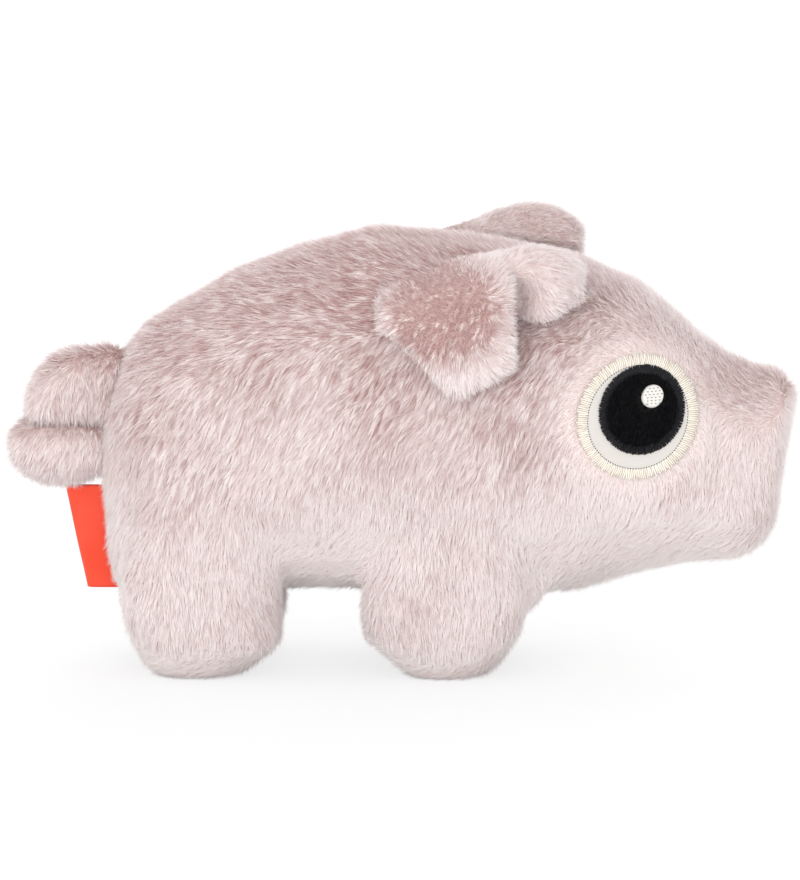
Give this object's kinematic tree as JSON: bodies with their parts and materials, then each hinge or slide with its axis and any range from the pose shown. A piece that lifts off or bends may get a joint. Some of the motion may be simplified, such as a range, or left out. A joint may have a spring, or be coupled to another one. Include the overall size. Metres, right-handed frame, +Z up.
{
  "type": "plush pig",
  "caption": "Small stuffed toy pig standing on short legs, with floppy ears, a curled tail, stitched felt eyes and a folded ribbon label.",
  "frame": {"origin": "on the floor, under the middle of the whole toy's bounding box", "axes": "+X towards the snout, +Y the pig's left side, +Z up"},
  "size_m": [0.2022, 0.0842, 0.1149],
  "materials": {
    "plush": "short soft pink pile",
    "filling": "loose white fibre",
    "white_felt": "matt off-white felt",
    "cream_thread": "satin stitched cream thread",
    "black_felt": "short black pile",
    "black_thread": "satin stitched black thread",
    "pink_thread": "satin stitched pink thread",
    "ribbon": "woven ribbon with a soft sheen"
  },
  "bodies": {
    "stuffed_body": {"body_cover_left": "plush", "head_cover_left": "plush", "body_cover_right": "plush", "head_cover_right": "plush", "body_filling": "filling", "head_filling": "filling", "leg_rear_left_cover": "plush", "leg_rear_left_filling": "filling", "leg_rear_right_cover": "plush", "leg_rear_right_filling": "filling", "leg_front_left_cover": "plush", "leg_front_left_filling": "filling", "leg_front_right_cover": "plush", "leg_front_right_filling": "filling", "snout_disc": "plush", "nostril_left": "pink_thread", "nostril_right": "pink_thread", "eye_left_felt": "white_felt", "eye_left_rim": "cream_thread", "eye_left_pupil": "black_felt", "eye_left_pupil_rim": "black_thread", "eye_left_highlight": "cream_thread", "eye_right_felt": "white_felt", "eye_right_rim": "cream_thread", "eye_right_pupil": "black_felt", "eye_right_pupil_rim": "black_thread", "eye_right_highlight": "cream_thread"},
    "ear_left": {"ear_left_outer": "plush", "ear_left_inner": "plush"},
    "ear_right": {"ear_right_outer": "plush", "ear_right_inner": "plush"},
    "tail_base": {"tail_base_cover": "plush", "tail_base_filling": "filling"},
    "tail_tip": {"tail_tip_cover": "plush", "tail_tip_filling": "filling"},
    "label": {"label_ribbon": "ribbon"}
  },
  "joints": [
    {"name": "ear_left_flop", "type": "hinge", "parent": "stuffed_body", "child": "ear_left", "pos_m": [0.01123, 0.01467, 0.10791], "axis": [0.9899, -0.0058, -0.1414], "range_deg": [0, 55], "stiffness_Nm_per_rad": 0.01, "springref_deg": -8.59},
    {"name": "ear_right_flop", "type": "hinge", "parent": "stuffed_body", "child": "ear_right", "pos_m": [0.01123, -0.01467, 0.10791], "axis": [-0.9899, -0.0058, 0.1414], "range_deg": [0, 55], "stiffness_Nm_per_rad": 0.01, "springref_deg": -8.59},
    {"name": "tail_swing", "type": "hinge", "parent": "stuffed_body", "child": "tail_base", "pos_m": [-0.07265, 0, 0.063], "axis": [0.2327, 0, 0.9725], "range_deg": [-25, 25], "stiffness_Nm_per_rad": 0.02},
    {"name": "tail_twist", "type": "hinge", "parent": "tail_base", "child": "tail_tip", "pos_m": [-0.08932, 0, 0.061], "axis": [0, 0, 1], "range_deg": [-25, 25], "stiffness_Nm_per_rad": 0.02},
    {"name": "label_flap", "type": "hinge", "parent": "stuffed_body", "child": "label", "pos_m": [-0.07387, 0, 0.043], "axis": [0.1278, 0, -0.9918], "range_deg": [-45, 45], "stiffness_Nm_per_rad": 0.001}
  ]
}
